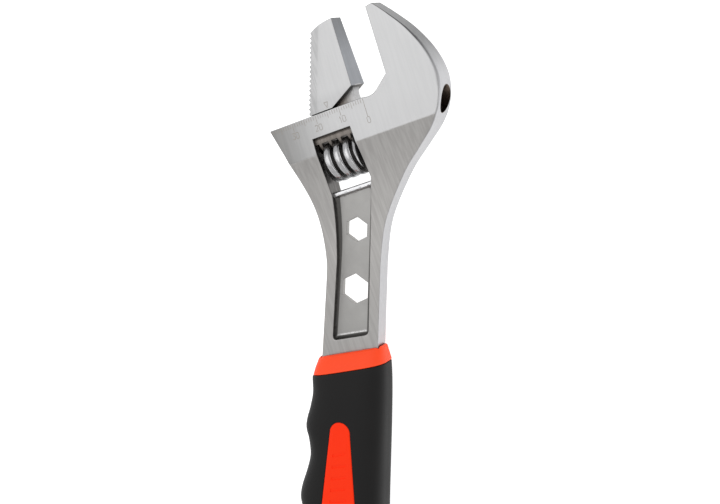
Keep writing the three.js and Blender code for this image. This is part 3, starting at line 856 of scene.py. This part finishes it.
# A speckled painted highlight in a band just above the slanted foot.
foot_highlight = from_foot.above(1.15, 0.2) * (1 - from_foot.above(1.75, 0.2)) * grit.above(0.45, 0.12)
floor_tone = blasted.mix(foot_highlight, floor_tone, (0.62, 0.62, 0.62))
left_fillet_shade = 1 - (web_x - left_wall).above(0.85, 0.2)
right_fillet_shade = web_x.above(5.25, 0.25)
foot_fillet_shade = 1 - from_foot.above(1.1, 0.2)
painted_fillet_shade = left_fillet_shade.at_least(right_fillet_shade).at_least(foot_fillet_shade)
# The fillets are painted nearly black, as painted shade.
floor_tone = blasted.mix(painted_fillet_shade, floor_tone, (0.1, 0.097, 0.093))
# The lip is painted lighter, a painted highlight on its rounded edge; its lower roughness is a
# smoother finish.
blasted.feed("Base Color", blasted.mix(on_lip, floor_tone, (0.62, 0.62, 0.63)))
blasted.feed("Roughness", 0.42 + 0.12 * grit - 0.2 * on_lip)
blasted.feed("Normal", blasted.bump(grit, 0.35, 0.00006))
blasted.paint(web)

# ---- moving jaw ----
# A forged jaw with one smooth face, and pipe teeth milled along its back, on a web that passes
# the deck's slot to a round stem. The stem's underside is cut as a rack for the worm.
MOVING_FACE = -2.4
MOVING_TIP = 30.4
JAW_FOOT_THICK = 5.6
JAW_TIP_THICK = 3.75
BACK_BEVEL_WIDTH = 3.8
BACK_BEVEL_SLOPE = 0.11
JAW_WEB_THICK = 2.5
JAW_WEB_RIGHT = -3.6
TOOTH_COUNT = 17
TOOTH_DEPTH = 0.6
TOOTH_LAND = 0.06
VALLEY_LAND = 0.08
STEM_RADIUS = 4.3
STEM_LEFT = -31.0
STEM_RIGHT = 11.0
RACK_TIP = -13.0
RACK_ROOT = -10.45
GROOVE_COUNT = 12
GROOVE_RIGHT = 11.4
GROOVE_HALF = 1.37
GROOVE_FLARE = 0.14
PITCH_RADIUS = 6.35
PITCH = 4.0
back_foot = np.array([-22.3, 1.0])
back_top = np.array([-12.4, 28.0])
back_step = (back_top - back_foot) / TOOTH_COUNT
back_cos, back_sin = back_step / np.linalg.norm(back_step)
back_in = np.array([back_sin, -back_cos]) * TOOTH_DEPTH


def from_back(x, y):
    """How far in from the toothed back a point of the head lies, for numbers or for shades."""
    return (x - back_foot[0]) * back_sin - (y - back_foot[1]) * back_cos


def jaw_outline():
    """The jaw from the side, in the head, with its row of pipe teeth."""
    teeth = []
    for i in reversed(range(TOOTH_COUNT)):
        valley = back_foot + back_step * (i + 0.5) + back_in
        teeth.extend([valley + back_step * VALLEY_LAND, valley - back_step * VALLEY_LAND])
        teeth.append(back_foot + back_step * (i + TOOTH_LAND))
        if i:
            teeth.append(back_foot + back_step * (i - TOOTH_LAND))
    tip = np.array([MOVING_FACE, MOVING_TIP])
    return np.vstack([
        [[-12.4, 0.15], [MOVING_FACE, JAW_FOOT + 0.2]], tip,
        bend(tip, [-8.6, MOVING_TIP - 0.2], back_top, 12), teeth, [[-21.9, 0.15]],
    ])


def jaw_height(x, y):
    """Thinner towards the tip, and bevelled along the toothed back."""
    across, up = plan_to_head(x, y)
    taper = (up - JAW_FOOT) / (MOVING_TIP + 3 - JAW_FOOT)
    thick = JAW_FOOT_THICK + (JAW_TIP_THICK - JAW_FOOT_THICK) * np.clip(taper, 0, 1)
    in_bevel = np.clip(BACK_BEVEL_WIDTH - from_back(across, up), 0, BACK_BEVEL_WIDTH)
    return thick - BACK_BEVEL_SLOPE * in_bevel


def rack_groove(x):
    """The cut between two rack teeth, slanted to follow the worm's thread."""
    low = RACK_TIP - 2
    mouth = GROOVE_HALF + GROOVE_FLARE * (RACK_ROOT - low)
    slant = math.atan(PITCH / (2 * math.pi * PITCH_RADIUS))
    sides = [(-GROOVE_HALF, RACK_ROOT), (-mouth, low), (mouth, low), (GROOVE_HALF, RACK_ROOT)]
    points = []
    for z in (-7.0, 7.0):
        for side, y in sides:
            turned_x = side * math.cos(slant) + z * math.sin(slant)
            turned_z = z * math.cos(slant) - side * math.sin(slant)
            points.append([*head_to_plan([x + turned_x, y]), turned_z])
    faces = [(0, 1, 2, 3), (7, 6, 5, 4), (0, 4, 5, 1), (1, 5, 6, 2), (2, 6, 7, 3), (3, 7, 4, 0)]
    return mesh_piece("groove_cut", points, faces)


jaw_loop = head_to_plan(jaw_outline())
jaw = forged_plate(
    "jaw_block", [(spaced(jaw_loop, 1.5), 0.18)], jaw_height, fill_in_head(-24, 0, 0, 32, 1.2))
stem = rod_along_head("stem", STEM_RADIUS, STEM_LEFT, STEM_RIGHT, BORE_HEIGHT, ends=0.5)
flat_cut = box_in_head("flat_cut", -BEYOND_HEAD, BEYOND_HEAD, -30, RACK_TIP, 8)
combine(stem, flat_cut, "DIFFERENCE")
for groove in range(GROOVE_COUNT):
    combine(stem, rack_groove(GROOVE_RIGHT - PITCH * groove), "DIFFERENCE")
web_foot = BORE_HEIGHT + 1
jaw_web_loop = head_to_plan(np.vstack([
    [[-20.8, web_foot], [JAW_WEB_RIGHT, web_foot], [JAW_WEB_RIGHT, -0.6]],
    bend([JAW_WEB_RIGHT, -0.6], [-4.9, 2.4], [-2.9, JAW_FOOT], 10),
    [[-5.0, JAW_FOOT + 1], [-20.8, 1.2]],
]))
jaw_web = forged_plate(
    "jaw_web", [(jaw_web_loop, 0.12)], level_at(JAW_WEB_THICK), fill_in_head(-20, -3, -9, 6, 2.5))
combine(jaw, jaw_web, "UNION")
combine(jaw, stem, "UNION")
tidy_shading(jaw)
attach(jaw, "jaw")
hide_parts("moving_jaw")

jaw_steel, jaw_grain = ground_steel("jaw_steel", 0.12)
jaw_x, jaw_y, jaw_z = jaw_steel.split(jaw_steel.place(-HEAD_ANGLE, DECK_START))
top_tone = jaw_steel.mix(jaw_grain, (0.4, 0.4, 0.404), (0.45, 0.45, 0.452))
# Painted shade on the jaw's smooth face, darker and bluer than its top.
jaw_face_shade_tone = jaw_steel.mix(jaw_grain, (0.2, 0.208, 0.224), (0.27, 0.28, 0.3))
# Deeper painted shade towards the jaw's tip.
tip_shade_tone = jaw_steel.mix(jaw_grain, (0.1, 0.104, 0.11), (0.15, 0.155, 0.162))
rack_tone = jaw_steel.mix(jaw_grain, (0.1, 0.087, 0.076), (0.26, 0.232, 0.21))
tooth_tone = jaw_steel.mix(jaw_grain, (0.3, 0.3, 0.303), (0.5, 0.5, 0.502))
top_tone = jaw_steel.mix(from_back(jaw_x, jaw_y).above(3.6, 0.25), tooth_tone, top_tone)
# Painted shade under the jaw, nearly black.
underside_shade_tone = jaw_steel.mix(jaw_grain, (0.02, 0.018, 0.016), (0.06, 0.055, 0.05))
passage_tone = jaw_steel.mix(jaw_x.above(-6.5, 3.5), rack_tone, top_tone)
# Where the jaw's smooth face is painted in shade.
shaded_jaw_face = jaw_steel.facing((HEAD_COS, HEAD_SIN, 0.0)).above(0.8, 0.1)
shaded_jaw_face = shaded_jaw_face * jaw_y.above(JAW_FOOT, 0.2)
# Where the faces under the jaw are painted in shade.
shaded_underside = jaw_steel.facing((HEAD_SIN, -HEAD_COS, 0.0)).above(0.5, 0.2)
shaded_underside = shaded_underside * (1 - jaw_y.above(JAW_FOOT + 0.5, 0.2))
in_passage = (1 - jaw_z.size().above(JAW_WEB_THICK + 0.1, 0.05)) * (1 - jaw_y.above(5.6, 0.2))
# The smooth face's painted shade deepens towards the tip.
jaw_face_shade_tone = jaw_steel.mix(jaw_y.above(22.0, 9.0), jaw_face_shade_tone, tip_shade_tone)
jaw_tone = jaw_steel.mix(shaded_jaw_face, top_tone, jaw_face_shade_tone)
jaw_tone = jaw_steel.mix(in_passage, jaw_tone, passage_tone)
jaw_tone = jaw_steel.mix(shaded_underside, jaw_tone, underside_shade_tone)
on_jaw = jaw_y.above(-0.6, 0.4)
jaw_steel.feed("Base Color", jaw_steel.mix(on_jaw, rack_tone, jaw_tone))
jaw_steel.feed("Metallic", 0.55 + 0.45 * on_jaw)
jaw_steel.paint(jaw)

POINTER_WIDTH = 1.5
pointer_x = MOVING_FACE - 11.8
pointer_points = [
    [pointer_x, 0.9], [pointer_x + POINTER_WIDTH / 2, 2.9], [pointer_x - POINTER_WIDTH / 2, 2.9]]
pointer = etched("jaw_pointer", [(pointer_points, True)], jaw_height, 0.18)
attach(pointer, "jaw")
etch.paint(pointer)

# ---- adjusting worm ----
# The thumb knurl: one right-hand thread turned from bar, its crests broad and polished, with a
# bore for its pin and a pocket for the spring in its left end. Its crests are painted lighter and
# its grooves darker, as painted light and shade.
WORM_RADIUS = 7.6
ROOT_RADIUS = 5.1
WORM_LEFT = -22.3
WORM_RIGHT = -8.3
CREST_PHASE = -3.6
POCKET_RADIUS = 3.7
POCKET_DEPTH = 4.6


def worm_thread():
    """The thread as one strip with a crowned crest and a ridge beside it, wound on the axis."""
    steps_per_turn = 72
    turns = 4.6
    end_chamfer = 0.6
    buried = ROOT_RADIUS - 0.6
    crest = [
        (side - 0.25, WORM_RADIUS - 0.3 * abs(side)**3) for side in np.linspace(-1.0, 1.0, 9)]
    ridge = [(0.9, WORM_RADIUS - 0.6), (1.02, WORM_RADIUS - 0.25), (1.2, WORM_RADIUS - 0.25)]
    flank = [(1.45, ROOT_RADIUS + 0.2), (1.62, buried)]
    profile = [(-side, radius) for side, radius in reversed(flank)] + crest + ridge + flank
    steps = round(turns * steps_per_turn)
    points = []
    for i in range(steps + 1):
        turn = (i - steps / 2) / steps_per_turn
        angle = 2 * math.pi * turn
        for side, radius in profile:
            x = CREST_PHASE - 3 * PITCH - PITCH * turn + side
            from_end = min(x - WORM_LEFT, WORM_RIGHT - x)
            radius = max(buried, min(radius, WORM_RADIUS - end_chamfer + max(from_end, -2.0)))
            plan = head_to_plan([x, WORM_IN_HEAD[1] + radius * math.sin(angle)])
            points.append([*plan, radius * math.cos(angle)])
    return mesh_piece("worm_thread", points, tube_faces(steps + 1, len(profile)))


worm = worm_thread()
worm_height = WORM_IN_HEAD[1]
hub = rod_along_head("worm_hub", ROOT_RADIUS, WORM_LEFT - 3, WORM_RIGHT + 3, worm_height)
combine(worm, hub, "UNION")
for x0, x1 in ((WORM_LEFT - 20, WORM_LEFT), (WORM_RIGHT, WORM_RIGHT + 20)):
    combine(worm, box_in_head("worm_end_cut", x0, x1, -40, 10, 20), "DIFFERENCE")
worm_holes = [
    ("worm_bore", PIN_RADIUS + RUNNING_GAP, BEYOND_HEAD),
    ("spring_pocket", POCKET_RADIUS, WORM_LEFT + POCKET_DEPTH),
]
for hole_name, hole_radius, hole_end in worm_holes:
    hole = rod_along_head(
        hole_name, hole_radius, -BEYOND_HEAD, hole_end, worm_height, PIN_SIDES)
    combine(worm, hole, "DIFFERENCE")
tidy_shading(worm)
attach(worm, "worm")
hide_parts("adjusting_worm")

polished = Finish("polished_steel", Metallic=1.0)
swirl = polished.noise(1.2, 3.0)
_, from_axis, worm_z = polished.split(polished.place(-HEAD_ANGLE, DECK_START))
from_axis = from_axis - WORM_IN_HEAD[1]
crest_start = 48.0  # the square of a radius of 6.9 mm
on_crest = (from_axis * from_axis + worm_z * worm_z).above(crest_start, 5.0)
# Painted light and shade: crests painted lighter and grooves darker, by the distance from the axis.
lit_crest_tone = polished.mix(swirl, (0.34, 0.34, 0.345), (0.6, 0.6, 0.61))
shaded_groove_tone = polished.mix(swirl, (0.16, 0.158, 0.154), (0.34, 0.335, 0.33))
polished.feed("Base Color", polished.mix(on_crest, shaded_groove_tone, lit_crest_tone))
polished.feed("Roughness", 0.34 + 0.12 * swirl - 0.15 * on_crest)
polished.feed("Normal", polished.bump(swirl, 0.05, 0.00005))
polished.paint(worm)

# ---- worm pin and spring ----
# The slotted screw that the worm turns on, put in from the left edge of the head, and the
# small coil spring in the worm's pocket that takes up its end play. Both are blackened.
PIN_END = PIN_HOLE_END - END_GAP
SLOT_DEPTH = 1.2
SLOT_HALF = 0.45
pin = rod_along_head(
    "pin_shaft", PIN_RADIUS, PIN_LEFT + 1, PIN_END, worm_height, PIN_SIDES, 0.3)
pin_head = rod_along_head(
    "pin_head", PIN_HEAD_RADIUS, PIN_LEFT, PIN_LEFT + PIN_HEAD_LENGTH, worm_height, 64, 0.25)
combine(pin, pin_head, "UNION")
pin_slot = box_in_head(
    "pin_slot", PIN_LEFT - 1, PIN_LEFT + SLOT_DEPTH, worm_height - 5, worm_height + 5, SLOT_HALF)
combine(pin, pin_slot, "DIFFERENCE")
tidy_shading(pin)
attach(pin, "handle")
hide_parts("worm_pin")

COIL_RADIUS = 2.95
WIRE_RADIUS = 0.34
WIRE_SIDES = 12
COIL_TURNS = 3.5
COIL_LEFT = -23.1
coil_right = WORM_LEFT + POCKET_DEPTH - 0.5
coil_rows = round(COIL_TURNS * 40) + 1
coil_points = []
for row in range(coil_rows):
    share = row / (coil_rows - 1)
    turned = 2 * math.pi * COIL_TURNS * share
    for i in range(WIRE_SIDES):
        around = 2 * math.pi * i / WIRE_SIDES
        reach = COIL_RADIUS + WIRE_RADIUS * math.cos(around)
        along = COIL_LEFT + (coil_right - COIL_LEFT) * share + WIRE_RADIUS * math.sin(around)
        coil_xy = head_to_plan([along, worm_height + reach * math.cos(turned)])
        coil_points.append([*coil_xy, reach * math.sin(turned)])
coil_faces = tube_faces(coil_rows, WIRE_SIDES)
spring = tidy_shading(mesh_piece("coil_spring", coil_points, coil_faces))
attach(spring, "handle")
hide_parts("worm_spring")

dark_steel = Finish("dark_steel", Metallic=1.0)
oil = dark_steel.noise(0.8, 3.0)
dark_steel.feed("Base Color", dark_steel.mix(oil, (0.13, 0.13, 0.135), (0.24, 0.235, 0.23)))
dark_steel.feed("Roughness", 0.3 + 0.2 * oil)
dark_steel.feed("Normal", dark_steel.bump(oil, 0.1, 0.00005))
dark_steel.paint(pin)
dark_steel.paint(spring)

# ---- grip collar ----
# The orange ring moulded round the shank at the top of the grip, cut on a slant. Its edges are
# rounded and it widens towards the grip.
GRIP_SLOPE = 0.3
SQUARENESS = 3.4
AROUND = 112
SHANK_LEFT = -12.35
SHANK_RIGHT = 11.25
SHANK_CLEARANCE = 0.3


def grip_ring(distance, slope, left, right, thick, flat):
    """One rounded section round the handle, level at the front and back above a flat height."""
    angles = 2 * np.pi * (np.arange(AROUND) + 0.5) / AROUND
    across, through = np.cos(angles), np.sin(angles)
    half = np.where(across > 0, right, left)
    x = half * np.sign(across) * np.abs(across)**(2 / SQUARENESS)
    z = np.minimum(flat, thick * np.abs(through)**(2 / SQUARENESS)) * np.sign(through)
    return np.column_stack([x, slope * x - distance, z])


def lofted(name, rings):
    """One closed form through a stack of sections."""
    return mesh_piece(name, np.vstack(rings), tube_faces(len(rings), AROUND))



# Distance down the handle, half widths to the left and right, and half thickness.
collar_rows = [
    (45.8, 12.95, 11.75, 4.75), (45.86, 13.08, 11.88, 4.88), (46.1, 13.48, 12.1, 5.2),
    (46.4, 13.84, 12.36, 5.52), (47.6, 14.25, 12.65, 6.05), (49.3, 14.85, 13.05, 6.75),
    (52.0, 15.52, 13.75, 7.65), (52.3, 15.56, 13.78, 7.68), (52.44, 15.42, 13.65, 7.55),
]
collar = lofted("grip_ring", [
    grip_ring(distance, GRIP_SLOPE, left, right, thick, thick)
    for distance, left, right, thick in collar_rows])
hole_half = SHANK_THICK + SHANK_CLEARANCE
hole_corners = [
    (x, y, z) for x in (SHANK_LEFT, SHANK_RIGHT) for y in (-70.0, -20.0)
    for z in (-hole_half, hole_half)]
combine(collar, mesh_piece("shank_hole", hole_corners, BOX_FACES), "DIFFERENCE")
tidy_shading(collar)
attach(collar, "handle")
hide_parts("grip_collar")


def moulded(name, low, high, grain_scale, rough, shine, relief):
    """A moulded plastic or rubber with a fine grain and slightly uneven gloss."""
    finish = Finish(name, Specular_IOR_Level=shine)
    grain = finish.noise(grain_scale, 2.0)
    wear = finish.noise(0.08, 4.0)
    finish.feed("Base Color", finish.mix(wear, low, high))
    finish.feed("Roughness", rough + 0.12 * wear)
    finish.feed("Normal", finish.bump(grain, relief, 0.00008))
    return finish


collar_plastic = moulded(
    "collar_plastic", (0.93, 0.058, 0.009), (0.99, 0.072, 0.013), 3.0, 0.45, 0.25, 0.12)
collar_plastic.paint(collar)

# ---- grip core ----
# The hard plastic core that is pushed over the tang. The skin and the inlays are moulded onto
# it, so it hardly shows.
core_plastic = moulded("core_plastic", (0.03, 0.03, 0.03), (0.05, 0.05, 0.05), 2.0, 0.5, 0.4, 0.1)
core_plastic.paint(bpy.data.objects["grip_core"])

# ---- grip skin ----
# The soft black rubber overmould, with two finger grooves down its left edge and a slot at the
# front and the back for the inlays. Its surface is lightly spark eroded.
GRIP_TOP = 52.6
GRIP_END = 143.0
END_ROUND = 8.0
GRIP_FLAT = 9.2
SKIN_THICK = 2.4
STRAIGHT_ROWS = 96
END_ROWS = 12
END_FLATNESS = 0.6
INLAY_X = -1.1
INLAY_TOP = -76.2
INLAY_FOOT = -130.0


def smooth_along(pairs):
    """A smooth curve of a value against the distance down the handle."""
    curve = np.vstack([pairs[0], spline(pairs, 10)])
    return lambda distance: np.interp(distance, curve[:, 0], curve[:, 1])


grip_left = smooth_along([
    [45.6, 15.2], [52.6, 15.85], [60, 15.4], [68, 16.3], [76.6, 17.8], [82, 16.4], [88, 15.6],
    [94, 16.8], [101, 18.9], [106, 19.5], [111, 18.2], [117, 17.1], [126, 18.6], [134, 20.2],
    [143, 19.4],
])
grip_right = smooth_along([
    [45.6, 12.9], [52.6, 13.75], [66, 14.5], [104, 14.75], [126, 15.4], [143, 15.2]])
grip_thick = smooth_along([
    [45.6, 7.3], [52.6, 7.9], [66, 8.7], [80, 9.2], [110, 9.4], [143, 9.2]])


def grip_section(distance, inset, thickness_inset):
    share = min(1.0, max(0.0, (distance - GRIP_TOP) / 24))
    slope = GRIP_SLOPE * (1 - share**2 * (3 - 2 * share))
    return grip_ring(
        distance, slope, grip_left(distance) - inset, grip_right(distance) - inset,
        grip_thick(distance) - thickness_inset, GRIP_FLAT - thickness_inset)


def grip_form(name, inset, top, edge=()):
    """The grip's form drawn in by an inset, with a rounded lower end."""
    straight_end = GRIP_END - END_ROUND
    rings = [grip_section(top + down, inset + more, inset + more) for down, more in edge]
    start = top + edge[-1][0] + 0.4 if edge else top
    for distance in np.linspace(start, straight_end, STRAIGHT_ROWS):
        rings.append(grip_section(distance, inset, inset))
    reach = END_ROUND - inset
    for step in range(1, END_ROWS + 1):
        angle = math.pi / 2 * step / END_ROWS
        gone = reach * (1 - math.cos(angle))
        distance = straight_end + reach * math.sin(angle)
        rings.append(grip_section(distance, inset + gone, inset + END_FLATNESS * gone))
    return lofted(name, rings)


def inlay_loop(grow):
    return np.vstack([
        arc(INLAY_X, INLAY_TOP, 4.1 + grow, 0, 180, 28),
        arc(TANG_CENTRE, INLAY_FOOT, 9.3 + grow, 180, 360, 44),
    ])


skin = grip_form("rubber_skin", 0.0, GRIP_TOP, [(0.0, 0.4), (0.05, 0.2), (0.2, 0.05), (0.4, 0.0)])
combine(skin, grip_form("skin_hollow", SKIN_THICK, GRIP_TOP - 2), "DIFFERENCE")
inlay_cut = forged_plate(
    "inlay_cut", [(inlay_loop(0.12), 0.01)], level_at(30.0), np.zeros((1, 2)))
combine(skin, inlay_cut, "DIFFERENCE")
tidy_shading(skin)
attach(skin, "handle")
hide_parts("grip_skin")
rubber = moulded(
    "black_rubber", (0.005, 0.0048, 0.0048), (0.0085, 0.008, 0.008), 2.2, 0.5, 0.2, 0.35)
rubber.paint(skin)

# ---- grip inlays ----
# The two orange plastic inserts, front and back, that are set into the skin's slots and stand a
# little proud. The hanging hole goes through both, and the front one has a row of slanted bars
# pressed into it.
INLAY_PROUD = 0.2
INLAY_DEEP = 2.2
BAR_DEPTH = 0.18
BAR_COUNT = 9
BAR_TOP = -84.5
BAR_STEP = 4.6
BAR_SLANT = 0.9
BAR_HALF_HEIGHT = 0.55


def inlay_height(x, y):
    half = np.where(x > 0, grip_right(-y), grip_left(-y))
    level = np.clip(1 - (np.abs(x) / half)**SQUARENESS, 0, 1)**(1 / SQUARENESS)
    return np.minimum(GRIP_FLAT, grip_thick(-y) * level) + INLAY_PROUD - 0.01


inlay_plastic = moulded(
    "inlay_plastic", (0.95, 0.028, 0.001), (1.0, 0.034, 0.001), 2.5, 0.45, 0.15, 0.14)
inlay_fill = np.array([
    [x, y] for x in np.arange(-9.6, 9.6, 1.5) for y in np.arange(-139, -72, 1.5)])
hang_loop = arc(TANG_CENTRE, HANG_HOLE, HANG_RADIUS, 360, 0, 48)[:-1]
inlays = []
for inlay_side, inlay_name in ((1, "front"), (-1, "back")):
    inlay = forged_plate(
        f"inlay_{inlay_name}", [(inlay_loop(0.0), 0.3), (hang_loop, 0.3)], inlay_height,
        inlay_fill, lambda x, y: inlay_height(x, y) - INLAY_DEEP, inlay_side)
    inlays.append(inlay)
bar_floor = GRIP_FLAT + INLAY_PROUD - BAR_DEPTH
for bar in range(BAR_COUNT):
    bar_y = BAR_TOP - BAR_STEP * bar
    bar_half = 2.6 + 0.2 * bar
    bar_corners = [
        (INLAY_X + across * bar_half, bar_y + BAR_SLANT * across + BAR_HALF_HEIGHT * up, z)
        for across in (-1, 1) for up in (-1, 1) for z in (bar_floor, 12.0)]
    combine(inlays[0], mesh_piece("bar_cut", bar_corners, BOX_FACES), "DIFFERENCE")
for inlay, node in zip(inlays, ("grip_inlay_front", "grip_inlay_back")):
    tidy_shading(inlay)
    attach(inlay, "handle")
    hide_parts(node)
    inlay_plastic.paint(inlay)
